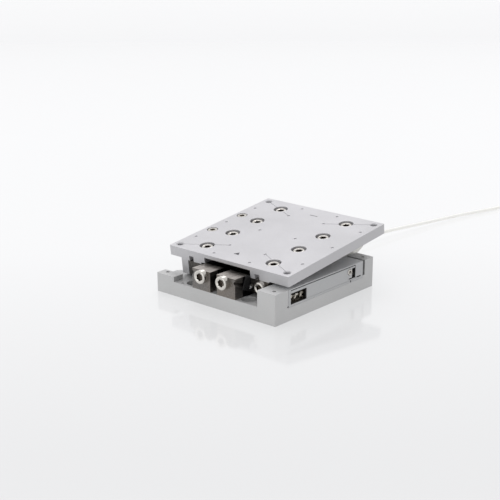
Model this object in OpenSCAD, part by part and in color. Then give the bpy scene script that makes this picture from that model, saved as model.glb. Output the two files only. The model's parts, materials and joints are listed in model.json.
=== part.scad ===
/*
  Motorised tilt stage: a platform that rocks on two arc-shaped crossed-roller guides
  in a low base, about a line that lies above the platform.

  Frame: millimetres, +Z up. The origin is the middle of the base's bottom face, X runs
  along the tilt axis and Y across it. Moving parts are drawn level and turned to the
  rest tilt about the tilt axis.
*/

/* [Stage] */
// Side of the square base and of the square platform
stage_w = 50; // [50:0.5:56]
// Height of the level platform's top face above the base's bottom
stage_h = 16.7; // [16.7:0.1:18]
// Height of the tilt axis above the platform's top face
axis_above_top = 50; // [50:0.5:52]
// Tilt of the platform in the rest pose, with its back edge raised
rest_tilt = 6.7; // [-7:0.1:7]

/* [Base] */
// Thickness of the base slab, seen as the ledge in front
slab_h = 4.7; // [4.7:0.1:5]
// Height of the two posts on the left side
left_post_h = 6.3; // [6:0.1:6.8]
// Height of the wall on the right side
wall_h = 10; // [9.8:0.05:10.1]

/* [Platform] */
// Thickness of the platform plate
plate_t = 3.3; // [3.2:0.1:3.4]
// Half width of the hollow under the platform
recess_half = 9.65; // [9.6:0.05:9.7]

/* [Guides] */
// Radius of the roller path about the tilt axis
path_r = 62; // [61.9:0.05:62.1]
// Nominal diameter of the crossed rollers
roller_d = 1.5; // [1.4:0.05:1.5]
// Rollers in each cage
roller_count = 14; // [8:1:14]

/* [Cable] */
// Outer diameter of the cable
cable_d = 1.3; // [1.1:0.1:1.4]
// Turns in each flat layer of the coil
coil_turns = 4; // [3:1:4]
// Flat layers in the coil, wound inward and outward in turn
coil_layers = 4; // [2:2:6]

/* [Hidden] */
$fn = 64;
arc_fn = 360;
half = stage_w / 2;
axis_h = stage_h + axis_above_top;
chamfer = 0.2;
gap = 0.05;

// Base outline
notch_left = -17.3;
notch_right = 17.9;
floor_r = 64;
pocket_z = 2.5;
pocket_half_y = 20;
corner_pitch = 22.5;
post_hole_r = 0.625;
post_depth = 4.1;
bolt_x = 11.5;
bolt_y = 21.5;
rail_screw_x = 5.2;
rail_screw_y = 7;

// Right-hand channel, which holds the drive and the encoder
channel_y0 = -18.95;
channel_y1 = 19.25;
slot_y1 = 20.3;
seam_z = 4.25;
bay_x0 = 18.3;
bay_x1 = 24.1;
bay_y0 = -17.6;
bay_y1 = 15.4;
bay_z = 2.6;
cover_t = 0.8;
frame_y0 = -17.7;
frame_y1 = 15.2;
frame_z0 = 5;
frame_z1 = 9.65;
pin_ys = [-19, 12.7];
pin_z = 4.65;
pin_r = 0.25;
cover_screw_x = 23;
cover_screw_y = 17.1;
cover_screw_z = 1;
pillar_top = 6.9;
inlay_screw_y = 12.15;
inlay_screw_z = 7.9;

// Wiring duct under the base
duct_y0 = 15.6;
duct_y1 = 18.4;
duct_h = 1.6;
duct_w = 28.6;
duct_mouth = 3;
lid_t = 0.6;
cable_x = -6;
cable_z = 2.4;

// Guides
rail_in = 1.4;
fixed_out = 9;
fixed_top = 11.3;
moving_in = 9.7;
moving_out = 16.8;
moving_top = 13;
moving_r = 63.7;
path_x = (fixed_out + moving_in) / 2;
groove_half = roller_d / sqrt(2);
cage_x0 = 9.15;
cage_x1 = 9.55;
cage_r0 = 58.6;
cage_r1 = 63.4;
cage_half_angle = 23.6;
roller_step = 3.15;
end_x = 4.5;
end_z = 9.5;
moving_end_x = 14.2;
moving_end_z = 11;

// Screws: head radius, head height, shank radius, socket across corners, socket depth
m25 = [1.95, 1.6, 1.2, 2.3, 1.3];
m25_side = [2, 1.8, 1.2, 2.3, 1];
m25_end = [2.25, 1.8, 1.2, 2.4, 1.1];
m25_low = [2.1, 1.1, 1.2, 1.8, 0.7];
m16 = [1.3, 0.9, 0.75, 1.3, 0.5];
m12 = [0.95, 0.7, 0.55, 1, 0.5];
screw_gap = 0.06;

// Platform
platform_bottom = stage_h - plate_t;
roof_t = 1.2;
cheek_x0 = -20;
cheek_x1 = -17.1;
platform_screw_x = 14;
platform_screw_ys = [-18.75, -6.25, 6.25, 18.75];
platform_bore = 2.5;
platform_bore_depth = m25[1] + 0.35;
dowel_depth = 0.2;
corner_thread_r = 1.025;
insert_x = -22;
insert_y = 7.5;
runner_t = 0.5;

// Drive
preload_x = 22.6;
preload_z = 6.6;
shoe_y = -4;
shoe_r = 0.6;

// Cable route from the gland to the coil, the coil, and the tail that leaves it
cable_route = [
    [-6, 29, 2.4], [-6, 40, 2.5], [-5.3, 52, 2.6], [-4.1, 66, 2.5], [-2.7, 79, 2.1],
    [-0.8, 92, 1.6], [1.2, 105, 1.2], [3.3, 116, 1], [6, 127, 0.8], [8.6, 136, 0.8], [10.3, 141.8, 1]
];
coil_x = 21.6;
coil_y = 143.9;
coil_out = 9.85;
coil_pitch = 1.35;
coil_in = coil_out - coil_turns * coil_pitch;
coil_base = 0.35;
coil_h = (coil_layers - 1) * coil_pitch + cable_d;
tie_w = 2.4;
tie_t = 0.3;
tail_route = [
    [26.7, 153.3, 5], [30, 151.9, 4.8], [33, 151, 4.3], [36, 150.7, 3.7], [37.6, 150.6, 3.42], [38.95, 150.6, 3.4]
];
connector_x = 39;
connector_y = 150.6;
connector_z = 3.4;
shell_r = 3.1;

// ---------- shared helpers ----------

// Turns its children about the tilt axis
module tilted(angle) {
    translate([0, 0, axis_h])
        rotate([angle, 0, 0])
            translate([0, 0, -axis_h])
                children();
}

// Box between two opposite corners
module block(low, high) {
    translate(low)
        cube(high - low);
}

// Cylinder along X about the tilt axis
module arc_drum(radius, x0, x1) {
    translate([x0, 0, axis_h])
        rotate([0, 90, 0])
            cylinder(r = radius, h = x1 - x0, $fn = arc_fn);
}

// Ring sector about the tilt axis, between two radii and two X planes, below the axis
module arc_strip(r0, r1, x0, x1, half_angle) {
    translate([0, 0, axis_h])
        rotate([90, 0, 90])
            rotate([0, 0, -90 - half_angle])
                rotate_extrude(angle = 2 * half_angle, $fn = arc_fn)
                    translate([r0, x0])
                        square([r1 - r0, x1 - x0]);
}

// Ring of diamond section that cuts the V-groove on the roller path
module groove_ring(x) {
    translate([x, 0, axis_h])
        rotate([0, 90, 0])
            rotate_extrude($fn = arc_fn)
                translate([path_r, 0])
                    polygon([[-groove_half, 0], [0, -groove_half], [groove_half, 0], [0, groove_half]]);
}

// Cylinder along X
module rod_x(y, z, radius, x0, x1) {
    translate([x0, y, z])
        rotate([0, 90, 0])
            cylinder(r = radius, h = x1 - x0);
}

// Cylinder along Y
module rod_y(x, z, radius, y0, y1) {
    translate([x, y0, z])
        rotate([-90, 0, 0])
            cylinder(r = radius, h = y1 - y0);
}

// Cap screw along Z: the head sits on z = 0 and the shank runs down
module screw(kind, shank) {
    difference() {
        union() {
            cylinder(r = kind[0], h = kind[1]);
            translate([0, 0, -shank])
                cylinder(r = kind[2], h = shank + 0.1);
        }
        translate([0, 0, kind[1] - kind[4]])
            cylinder(r = kind[3] / 2, h = kind[4] + 1, $fn = 6);
    }
}

// Square plate with small chamfers on its upright corners
module plate(low_z, high_z) {
    translate([0, 0, low_z])
        linear_extrude(high_z - low_z)
            polygon([
                [-half + chamfer, -half], [half - chamfer, -half], [half, -half + chamfer],
                [half, half - chamfer], [half - chamfer, half], [-half + chamfer, half],
                [-half, half - chamfer], [-half, -half + chamfer]
            ]);
}

// ---------- base ----------

module duct_outline(play) {
    translate([cable_x - 1.5 + play, duct_y0 + play])
        square([duct_w - 2 * play, duct_y1 - duct_y0 - 2 * play]);
    translate([cable_x - 1.5 + play, duct_y0 + play])
        square([duct_mouth - 2 * play, 5.8 - 2 * play]);
}

module base_cuts_right() {
    block([notch_right - 1, channel_y0, seam_z], [half + 1, channel_y1 + 0.01, wall_h + 1]);
    block([notch_right - 1, channel_y1, 5], [half + 1, slot_y1, wall_h + 1]);
    block([bay_x0, bay_y0, bay_z], [bay_x1, bay_y1, seam_z + 1]);
    block([notch_right - 1, shoe_y - 1.2, 3.9], [bay_x0 + 1, shoe_y + 1.2, seam_z + 1]);
    // The front post's pocket for the cover's tongue
    block([19.95, channel_y0 - 0.65, 8.6], [23.05, channel_y0 + 1, 9.4]);
    for (y = pin_ys)
        rod_x(y, pin_z, pin_r + screw_gap, half - 1.7, half + 1);
    for (y = [-13.5, 7.5])
        translate([21.5, y, 1])
            cylinder(r = m16[2] + screw_gap, h = 5);
    // The flex lead's way up from the duct
    block([19.4, bay_y1 - 0.1, duct_h - 0.1], [21, duct_y1, seam_z + 1]);
}

module base_cuts_below() {
    translate([0, 0, -1])
        linear_extrude(duct_h + 1)
            duct_outline(0);
    rod_y(cable_x, cable_z, 1.5, duct_y1 + 2.2, half + 1);
    for (x = [-rail_screw_x, rail_screw_x], y = [-rail_screw_y, rail_screw_y])
        translate([x, y, -1]) {
            cylinder(r = m25_low[2] + screw_gap, h = 5);
            cylinder(r = m25_low[0] + 0.1, h = 2.2);
        }
}

module base_frame() {
    color([0.80, 0.82, 0.82])
        difference() {
            union() {
                difference() {
                    plate(0, wall_h);
                    block([notch_left, -half - 1, slab_h], [notch_right, half + 1, wall_h + 1]);
                    block([-half - 1, -half - 1, left_post_h], [notch_left + 0.01, half + 1, wall_h + 1]);
                    block([-half - 1, post_depth - half, slab_h], [notch_left + 0.01, half - post_depth, wall_h]);
                    base_cuts_right();
                }
                // Pillar that takes the cover's screw
                block([21.75, 15.5, seam_z - 1], [24.15, 18.6, pillar_top]);
            }
            arc_drum(floor_r, -half - 1, notch_right);
            block([-fixed_out - 0.2, -pocket_half_y - gap, pocket_z],
                  [fixed_out + 0.2, pocket_half_y + gap, slab_h + 1]);
            for (x = [-corner_pitch, corner_pitch], y = [-corner_pitch, corner_pitch])
                translate([x, y, -1])
                    cylinder(r = post_hole_r, h = wall_h + 2);
            for (x = [-bolt_x, bolt_x], y = [-bolt_y, bolt_y])
                translate([x, y, -1]) {
                    cylinder(r = 1.35, h = slab_h + 2);
                    translate([0, 0, 1 + slab_h - 2])
                        cylinder(r = 2.5, h = 4);
                }
            for (y = [-24, 24])
                translate([-14.2, y, slab_h - 1.5])
                    cylinder(r = 0.5, h = 3);
            translate([cover_screw_x, cover_screw_y, -1]) {
                cylinder(r = m16[2] + screw_gap, h = wall_h);
                cylinder(r = m16[0] + 0.1, h = cover_screw_z + 1);
            }
            base_cuts_below();
        }
}

module duct_cover() {
    color([0.62, 0.63, 0.64])
        linear_extrude(lid_t)
            duct_outline(gap);
}

// Fixed guide rail on the right side; the left one is its mirror image
module fixed_rail() {
    difference() {
        union() {
            block([rail_in, -half, slab_h], [fixed_out, half, fixed_top]);
            block([rail_in, -pocket_half_y, pocket_z], [fixed_out, pocket_half_y, slab_h + 1]);
        }
        groove_ring(path_x);
        for (y = [-rail_screw_y, rail_screw_y])
            translate([rail_screw_x, y, pocket_z - 1])
                cylinder(r = m25_low[2] + screw_gap, h = 5.6);
        for (side = [-1, 1])
            rod_y(end_x, end_z, m25_end[2] + screw_gap, side * half - 5, side * half + 5);
    }
}

module fixed_rail_left() {
    color([0.38, 0.37, 0.36])
        mirror([1, 0, 0])
            fixed_rail();
}

module fixed_rail_right() {
    color([0.38, 0.37, 0.36])
        fixed_rail();
}

module fixed_rail_screws() {
    color([0.75, 0.75, 0.76])
        for (x = [-rail_screw_x, rail_screw_x], y = [-rail_screw_y, rail_screw_y])
            translate([x, y, 1.2])
                mirror([0, 0, 1])
                    screw(m25_low, 4.6);
}

// A screw in the end face of a rail, at the front (side -1) or the back (side 1)
module end_screw(x, z, side) {
    translate([x, side * half, z])
        rotate([-90 * side, 0, 0])
            screw(m25_end, 4.5);
}

module fixed_end_screws() {
    color([0.82, 0.81, 0.78])
        for (x = [-end_x, end_x], side = [-1, 1])
            end_screw(x, end_z, side);
}

module side_cover() {
    color([0.74, 0.75, 0.76])
        difference() {
            union() {
                block([notch_right + 0.1, channel_y0 + 0.1, wall_h - cover_t], [half, channel_y1 - gap, wall_h]);
                block([half - cover_t, channel_y0 + 0.1, seam_z + gap], [half, channel_y1 - gap, wall_h]);
                block([20, channel_y0 - 0.55, 8.7], [23, channel_y0 + 0.6, wall_h - cover_t + 0.1]);
                // Boss that takes the cover's screw
                block([21.75, 15.5, pillar_top + gap], [half - 0.1, 18.6, wall_h - 0.1]);
            }
            block([half - cover_t - 0.05, frame_y0, frame_z0], [half + 1, frame_y1, frame_z1]);
            block([half - 0.4, 15.9, 5.1], [half + 1, 18.1, 5.5]);
            for (y = pin_ys)
                rod_x(y, pin_z, pin_r + screw_gap, half - 1.7, half + 1);
            translate([cover_screw_x, cover_screw_y, pillar_top - 1])
                cylinder(r = m16[2] + screw_gap, h = 2.9);
        }
}

module cover_screw() {
    color([0.75, 0.75, 0.76])
        translate([cover_screw_x, cover_screw_y, cover_screw_z])
            mirror([0, 0, 1])
                screw(m16, 7.6);
}

module cover_pins() {
    color([0.25, 0.25, 0.26])
        for (y = pin_ys)
            rod_x(y, pin_z, pin_r, half - cover_t + gap, half - 0.2);
}

module side_inlay() {
    color([0.70, 0.71, 0.72])
        difference() {
            block([half - 0.75, frame_y0 + 0.1, frame_z0 + 0.04], [half - 0.05, frame_y1 - 0.22, frame_z1 - 0.3]);
            // Window over the preload spring
            block([half - 1, frame_y0, frame_z0], [half + 1, -10, 8.55]);
            // Notch behind the screw, with a narrow foot in front of it
            block([half - 1, 13.4, 5.4], [half + 1, frame_y1, 8.8]);
            block([half - 1, 11.7, 5.4], [half + 1, 13.5, 5.8]);
            // Seat that sinks the screw's head
            rod_x(inlay_screw_y, inlay_screw_z, m12[0] + 0.1, half - 0.45, half + 1);
            rod_x(inlay_screw_y, inlay_screw_z, m12[2] + screw_gap, half - 1, half + 1);
        }
}

module inlay_screw() {
    color([0.82, 0.81, 0.78])
        translate([half - 0.45, inlay_screw_y, inlay_screw_z])
            rotate([0, 90, 0])
                screw(m12, 3);
}

// ---------- drive and encoder ----------

module drive_frame() {
    color([0.55, 0.53, 0.50])
        difference() {
            union() {
                block([18.45, bay_y0 + 0.1, bay_z + gap], [23.95, 14.9, 3.65]);
                block([19, bay_y0 + 0.1, 3.6], [23.95, -16.6, 8.5]);
                block([18.7, -9.8, 3.6], [23.4, -8.8, 8.4]);
                block([18.7, 2.6, 3.6], [23.95, 3.5, 6.6]);
                block([18.7, -9.8, 4.1], [19.6, 3.5, 6.2]);
                block([20.8, 10.95, 3.6], [bay_x1 - gap, 13.35, 8.9]);
            }
            rod_y(preload_x, preload_z, 0.75 + screw_gap, bay_y0 - 1, -16);
            rod_x(inlay_screw_y, inlay_screw_z, m12[2] + screw_gap, 20.9, half);
            for (y = [-13.5, 7.5])
                translate([21.5, y, 1])
                    cylinder(r = m16[2] + screw_gap, h = 5);
        }
}

module drive_screws() {
    color([0.75, 0.75, 0.76])
        for (y = [-13.5, 7.5])
            translate([21.5, y, 3.65])
                screw(m16, 2.4);
}

module piezo_stack() {
    color([0.35, 0.22, 0.14])
        union() {
            block([20.1, -8.8, 4.2], [23.2, -8, 7.2]);
            block([20.3, -8, 4.4], [23, 1.8, 7]);
            block([20.1, 1.8, 4.2], [23.2, 2.6, 6.6]);
        }
}

module friction_shoe() {
    color([0.93, 0.92, 0.88])
        rod_x(shoe_y, axis_h - sqrt(path_r * path_r - shoe_y * shoe_y) + 0.25, shoe_r, moving_out + runner_t + 0.05, 18.7);
}

module preload_screw() {
    color([0.75, 0.75, 0.76])
        difference() {
            union() {
                rod_y(preload_x, preload_z, 0.75, bay_y0 + 0.2, -9.8);
                rod_y(preload_x, preload_z, 1.4, -10.35, -9.85);
            }
            rod_y(preload_x, preload_z, 0.42, bay_y0 - 1, bay_y0 + 1.1, $fn = 6);
        }
}

// Helical preload spring: a round wire swept along a helix by a formula
spring_turns = 2.5;
spring_steps = 20;
spring_y0 = -16.25;
spring_y1 = -10.7;
spring_r = 1.2;
spring_wire = 0.3;

function helix_point(i) =
    let (turn = i / spring_steps)
    [
        preload_x + spring_r * cos(360 * turn),
        spring_y0 + (spring_y1 - spring_y0) * turn / spring_turns,
        preload_z + spring_r * sin(360 * turn)
    ];

// ---------- swept tubes ----------

function unit(v) = v / norm(v);

// Points of one ring about c, square to the direction t
function ring(c, t, r, n) =
    let (side = unit(cross(t, [0, 0.02, 1])), up = cross(side, t))
    [for (k = [0:n - 1]) c + r * (cos(360 * k / n) * side + sin(360 * k / n) * up)];

function direction(path, i) =
    unit(path[min(i + 1, len(path) - 1)] - path[max(i - 1, 0)]);

// Catmull-Rom curve through the route's points
function spline(p0, p1, p2, p3, t) =
    0.5 * (2 * p1 + (p2 - p0) * t + (2 * p0 - 5 * p1 + 4 * p2 - p3) * t * t
           + (3 * p1 - p0 - 3 * p2 + p3) * t * t * t);

function smooth_route(route, steps) = [
    for (i = [0:len(route) - 2], s = [0:steps - 1])
        spline(route[max(i - 1, 0)], route[i], route[i + 1], route[min(i + 2, len(route) - 1)], s / steps),
    route[len(route) - 1]
];

module tube(path, r, n) {
    count = len(path);
    points = [for (i = [0:count - 1]) each ring(path[i], direction(path, i), r, n)];
    walls = [
        for (i = [0:count - 2], k = [0:n - 1])
            [i * n + k, (i + 1) * n + k, (i + 1) * n + (k + 1) % n, i * n + (k + 1) % n]
    ];
    first = [for (k = [0:n - 1]) k];
    last = [for (k = [n - 1:-1:0]) (count - 1) * n + k];
    polyhedron(points, concat(walls, [first], [last]));
}

module preload_spring() {
    color([0.80, 0.78, 0.74])
        tube([for (i = [0:spring_turns * spring_steps]) helix_point(i)], spring_wire, 8);
}

module encoder_board() {
    color([0.10, 0.32, 0.20])
        union() {
            block([19.9, 4.2, 4.7], [20.4, 10.7, 8.9]);
            // Feet on the drive frame, clear of the screw between them
            block([19.9, 4.2, 3.65], [20.4, 5.2, 4.75]);
            block([19.9, 10, 3.65], [20.4, 10.7, 4.75]);
        }
}

module encoder_readhead() {
    color([0.08, 0.08, 0.09])
        block([17.75, 5, 7], [19.9, 9.6, 8.8]);
}

module flex_lead() {
    color([0.72, 0.45, 0.12])
        union() {
            block([cable_x - 1, duct_y0 + 0.6, 1.1], [20.4, duct_y1 - 0.6, 1.25]);
            block([20.25, duct_y0 + 0.6, 1.1], [20.4, duct_y1 - 0.6, 5.2]);
            block([20.25, 10.7, 4.1], [20.4, duct_y1 - 0.6, 5.2]);
            block([cable_x - 0.8, duct_y1 - 0.7, 1.1], [cable_x + 0.8, duct_y1 + 2.2, 1.25]);
        }
}

// ---------- cable ----------

module cable_gland() {
    color([0.90, 0.90, 0.89])
        translate([cable_x, 0, cable_z])
            rotate([-90, 0, 0])
                rotate_extrude()
                    polygon([
                        [0, 20.7], [1.4, 20.7], [1.4, half], [2.1, half], [2.1, half + 0.7],
                        [1.5, half + 0.7], [1.3, half + 2], [0.95, half + 4], [0, half + 4]
                    ]);
}

module cable_tube() {
    color([0.94, 0.94, 0.93])
        tube(smooth_route(cable_route, 4), cable_d / 2, 8);
}

module cable_coil() {
    color([0.94, 0.94, 0.93])
        translate([coil_x, coil_y, coil_base])
            rotate_extrude()
                translate([coil_in - cable_d / 2, 0])
                    square([coil_out - coil_in + cable_d, coil_h]);
}

// Strap that holds the coil's turns together, on the side away from the stage
module coil_tie() {
    color([0.15, 0.15, 0.16])
        translate([coil_x, coil_y, 0])
            difference() {
                block([coil_in - cable_d / 2 - tie_t - 0.3, -tie_w / 2, 0],
                      [coil_out + cable_d / 2 + tie_t + 0.05, tie_w / 2, coil_base + coil_h + tie_t + 0.05]);
                block([coil_in - cable_d / 2 - 0.3, -tie_w, tie_t],
                      [coil_out + cable_d / 2 + 0.05, tie_w, coil_base + coil_h + 0.05]);
            }
}

module cable_tail() {
    color([0.94, 0.94, 0.93])
        tube(smooth_route(tail_route, 3), cable_d / 2, 8);
}

module connector_boot() {
    color([0.88, 0.88, 0.87])
        translate([connector_x, connector_y, connector_z])
            rotate([0, 90, 0])
                rotate_extrude()
                    polygon([[0, 0], [0.9, 0], [1.2, 3], [2, 6], [2.2, 8], [0, 8]]);
}

module connector_shell() {
    color([0.72, 0.72, 0.73])
        difference() {
            rod_x(connector_y, connector_z, shell_r, connector_x + 8, connector_x + 23);
            rod_x(connector_y, connector_z, shell_r - 0.6, connector_x + 16, connector_x + 24);
        }
}

module connector_ring() {
    color([0.55, 0.56, 0.57])
        difference() {
            rod_x(connector_y, connector_z, connector_z, connector_x + 10, connector_x + 14);
            rod_x(connector_y, connector_z, shell_r + 0.03, connector_x + 9, connector_x + 15);
        }
}

module connector_insert() {
    color([0.12, 0.12, 0.13])
        rod_x(connector_y, connector_z, shell_r - 0.6, connector_x + 16, connector_x + 18.5);
}

module connector_pins() {
    color([0.83, 0.68, 0.35])
        for (k = [0:5])
            rod_x(connector_y + 1.5 * cos(60 * k), connector_z + 1.5 * sin(60 * k), 0.28,
                  connector_x + 18.5, connector_x + 22);
}

// ---------- platform ----------

module platform_cuts() {
    // Hollow under the middle
    block([-recess_half, -half - 1, platform_bottom - 4], [recess_half, half + 1, stage_h - roof_t]);
    for (side = [-1, 1]) {
        // Corner threads
        for (y = [-corner_pitch, corner_pitch])
            translate([side * corner_pitch, y, platform_bottom - 1]) {
                cylinder(r = corner_thread_r, h = plate_t + 2);
                translate([0, 0, plate_t + 0.7])
                    cylinder(r1 = corner_thread_r, r2 = corner_thread_r + 0.3, h = 0.31);
            }
        // Counterbored holes over the moving rails
        for (y = platform_screw_ys)
            translate([side * platform_screw_x, y, moving_top - 1]) {
                cylinder(r = m25[2] + screw_gap, h = 6);
                translate([0, 0, stage_h - moving_top + 1 - platform_bore_depth])
                    cylinder(r = platform_bore, h = 4);
            }
        // Ringed holes on the left
        translate([insert_x, side * insert_y, platform_bottom - 1])
            cylinder(r = 1.87, h = plate_t + 2);
    }
    // Slots in both end faces, each with one slanting side
    for (turn = [0, 180], x = [-16.4, 11.4])
        rotate([0, 0, turn])
            translate([x, -half, moving_top - 1])
                linear_extrude(2.7)
                    polygon([[0, -1], [0, 1.8], [1.1, 1.8], [1.3, 0.5], [2, 0], [2, -1]]);
    // Small dowel holes
    for (x = [-7.5, 7.5], y = [-22.5, -15, 0, 15, 22.5])
        translate([x, y, stage_h - dowel_depth])
            cylinder(r = 0.5, h = 1);
    for (x = [-22.5, 22.5], y = [-15, 0, 15])
        translate([x, y, stage_h - dowel_depth])
            cylinder(r = 0.5, h = 1);
    // Air grooves from the corner threads to the dowel holes
    for (sx = [-1, 1], sy = [-1, 1])
        translate([sx * corner_pitch, sy * corner_pitch, stage_h - 0.12])
            rotate([0, 0, atan2(-sy * 7.5, -sx * 15)])
                translate([0, -0.12, 0])
                    cube([norm([7.5, 15]), 0.24, 1]);
    // Arrow and index tick
    translate([-0.6, -19, stage_h - 0.12])
        linear_extrude(1)
            polygon([[-1.1, -0.8], [1.1, -0.8], [0, 1]]);
    block([-1.6, 19.1, stage_h - 0.12], [1.6, 19.45, stage_h + 1]);
    // Screw holes for the side cheek
    for (y = [-12, 0, 12])
        rod_x(y, 9.6, 0.8, cheek_x0 - 1, cheek_x1 + 1);
}

module platform() {
    color([0.84, 0.85, 0.87])
        tilted(rest_tilt)
            difference() {
                union() {
                    plate(platform_bottom, stage_h);
                    for (side = [-1, 1])
                        block([side > 0 ? moving_in : -moving_out - 0.3, -half, moving_top],
                              [side > 0 ? moving_out + 0.3 : -moving_in, half, platform_bottom + 0.1]);
                    // Left cheek, rounded below about the tilt axis
                    intersection() {
                        block([cheek_x0, -half, 0], [cheek_x1, half, platform_bottom + 0.1]);
                        arc_drum(moving_r, cheek_x0 - 1, cheek_x1 + 1);
                    }
                }
                platform_cuts();
            }
}

module inner_shield() {
    color([0.03, 0.03, 0.03])
        tilted(rest_tilt)
            block([-9.2, -half + 0.3, stage_h - roof_t - 0.35], [9.2, half - 0.3, stage_h - roof_t]);
}

// Moving guide rail on the right side, with end holes where ends says so; the left one is its mirror image
module moving_rail(ends) {
    difference() {
        intersection() {
            block([moving_in, -half, 0], [moving_out, half, moving_top]);
            arc_drum(moving_r, moving_in - 1, moving_out + 1);
        }
        groove_ring(path_x);
        for (y = platform_screw_ys)
            translate([platform_screw_x, y, moving_top - 3.6])
                cylinder(r = m25[2] + screw_gap, h = 5);
        for (side = ends)
            rod_y(moving_end_x, moving_end_z, m25_side[2] + screw_gap, side * half - 4, side * half + 4);
    }
}

module moving_rail_left() {
    color([0.38, 0.37, 0.36])
        tilted(rest_tilt)
            mirror([1, 0, 0])
                moving_rail([1]);
}

module moving_rail_right() {
    color([0.38, 0.37, 0.36])
        tilted(rest_tilt)
            moving_rail([-1, 1]);
}

module platform_screws() {
    color([0.82, 0.81, 0.79])
        tilted(rest_tilt)
            for (x = [-platform_screw_x, platform_screw_x], y = platform_screw_ys)
                translate([x, y, stage_h - platform_bore_depth])
                    screw(m25, 4.5);
}

module moving_end_screws() {
    color([0.82, 0.81, 0.78])
        tilted(rest_tilt)
            for (place = [[moving_end_x, -1], [-moving_end_x, 1], [moving_end_x, 1]])
                translate([place[0], place[1] * half, moving_end_z])
                    rotate([-90 * place[1], 0, 0])
                        screw(m25_side, 3.6);
}

module platform_inserts() {
    color([0.78, 0.78, 0.76])
        tilted(rest_tilt)
            for (side = [-1, 1])
                translate([insert_x, side * insert_y, platform_bottom])
                    difference() {
                        union() {
                            cylinder(r = 1.84, h = plate_t - 0.8);
                            cylinder(r = 1.6, h = plate_t - 0.1);
                        }
                        translate([0, 0, plate_t - 1.3])
                            cylinder(r = 0.95, h = 2, $fn = 6);
                    }
}

module cheek_screws() {
    color([0.55, 0.55, 0.55])
        tilted(rest_tilt)
            for (y = [-12, 0, 12])
                difference() {
                    rod_x(y, 9.6, 0.75, cheek_x0 + 0.2, -moving_out);
                    rod_x(y, 9.6, 0.42, cheek_x0 - 1, cheek_x0 + 1, $fn = 6);
                }
}

module runner_strip() {
    color([0.90, 0.90, 0.86])
        tilted(rest_tilt)
            arc_strip(60.5, 63.3, moving_out, moving_out + runner_t, 21);
}

module encoder_scale() {
    color([0.20, 0.24, 0.34])
        tilted(rest_tilt)
            arc_strip(57.4, 59.9, moving_out, moving_out + 0.4, 19.5);
}

// ---------- roller cages ----------

module roller_places() {
    for (i = [0:roller_count - 1])
        rotate([(i - (roller_count - 1) / 2) * roller_step, 0, 0])
            translate([0, 0, -path_r])
                children();
}

module roller_cage() {
    difference() {
        arc_strip(cage_r0, cage_r1, cage_x0, cage_x1, cage_half_angle);
        translate([path_x, 0, axis_h])
            roller_places()
                cube([2, 1.5, 2.1], center = true);
    }
}

// Crossed rollers: the axes of neighbours lean opposite ways
module rollers() {
    translate([path_x, 0, axis_h])
        for (i = [0:roller_count - 1])
            rotate([(i - (roller_count - 1) / 2) * roller_step, 0, 0])
                translate([0, 0, -path_r])
                    rotate([0, i % 2 == 0 ? 45 : -45, 0])
                        cylinder(d = roller_d - 0.14, h = roller_d - 0.2, center = true);
}

module roller_cage_left() {
    color([0.05, 0.05, 0.05])
        tilted(rest_tilt / 2)
            mirror([1, 0, 0])
                roller_cage();
}

module rollers_left() {
    color([0.75, 0.75, 0.76])
        tilted(rest_tilt / 2)
            mirror([1, 0, 0])
                rollers();
}

module roller_cage_right() {
    color([0.05, 0.05, 0.05])
        tilted(rest_tilt / 2)
            roller_cage();
}

module rollers_right() {
    color([0.75, 0.75, 0.76])
        tilted(rest_tilt / 2)
            rollers();
}

base_frame();
duct_cover();
fixed_rail_left();
fixed_rail_right();
fixed_rail_screws();
fixed_end_screws();
side_cover();
cover_screw();
cover_pins();
side_inlay();
inlay_screw();
drive_frame();
drive_screws();
piezo_stack();
friction_shoe();
preload_screw();
preload_spring();
encoder_board();
encoder_readhead();
flex_lead();
cable_gland();
cable_tube();
cable_coil();
coil_tie();
cable_tail();
connector_boot();
connector_shell();
connector_ring();
connector_insert();
connector_pins();
platform();
inner_shield();
moving_rail_left();
moving_rail_right();
platform_screws();
moving_end_screws();
platform_inserts();
cheek_screws();
runner_strip();
encoder_scale();
roller_cage_left();
rollers_left();
roller_cage_right();
rollers_right();
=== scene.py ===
"""The looks of a motorised tilt stage: its finishes, its screws, its lead and its small parts.

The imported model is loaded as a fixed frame. Every piece made here is placed from that frame or from the
named sizes below, which are in millimetres unless a name says otherwise, and rides on one of its bodies.
"""

from __future__ import annotations

import json
import logging
import math
from dataclasses import dataclass, field
from enum import Enum
from typing import Callable, ClassVar, Iterable, Sequence, Union

import bmesh
import bpy
from mathutils import Matrix, Vector

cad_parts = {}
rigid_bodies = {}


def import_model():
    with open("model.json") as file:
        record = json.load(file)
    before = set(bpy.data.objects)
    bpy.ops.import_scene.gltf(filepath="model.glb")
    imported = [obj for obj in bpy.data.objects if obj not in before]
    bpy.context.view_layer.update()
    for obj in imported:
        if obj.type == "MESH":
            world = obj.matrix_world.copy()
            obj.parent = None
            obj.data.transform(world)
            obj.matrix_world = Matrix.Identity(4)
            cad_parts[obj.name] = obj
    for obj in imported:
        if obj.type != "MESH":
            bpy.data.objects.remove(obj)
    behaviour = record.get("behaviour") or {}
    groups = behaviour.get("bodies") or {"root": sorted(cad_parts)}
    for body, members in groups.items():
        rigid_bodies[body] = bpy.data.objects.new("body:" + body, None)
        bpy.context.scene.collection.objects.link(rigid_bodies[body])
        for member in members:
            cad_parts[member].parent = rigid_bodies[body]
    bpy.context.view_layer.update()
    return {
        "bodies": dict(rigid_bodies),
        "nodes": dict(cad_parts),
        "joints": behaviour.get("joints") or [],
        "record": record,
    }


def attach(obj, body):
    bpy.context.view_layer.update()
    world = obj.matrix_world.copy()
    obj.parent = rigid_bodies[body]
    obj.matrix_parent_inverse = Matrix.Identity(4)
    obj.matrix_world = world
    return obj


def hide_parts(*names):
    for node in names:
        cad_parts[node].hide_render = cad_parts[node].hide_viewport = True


log = logging.getLogger("tilt_stage")

MM = 0.001
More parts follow.
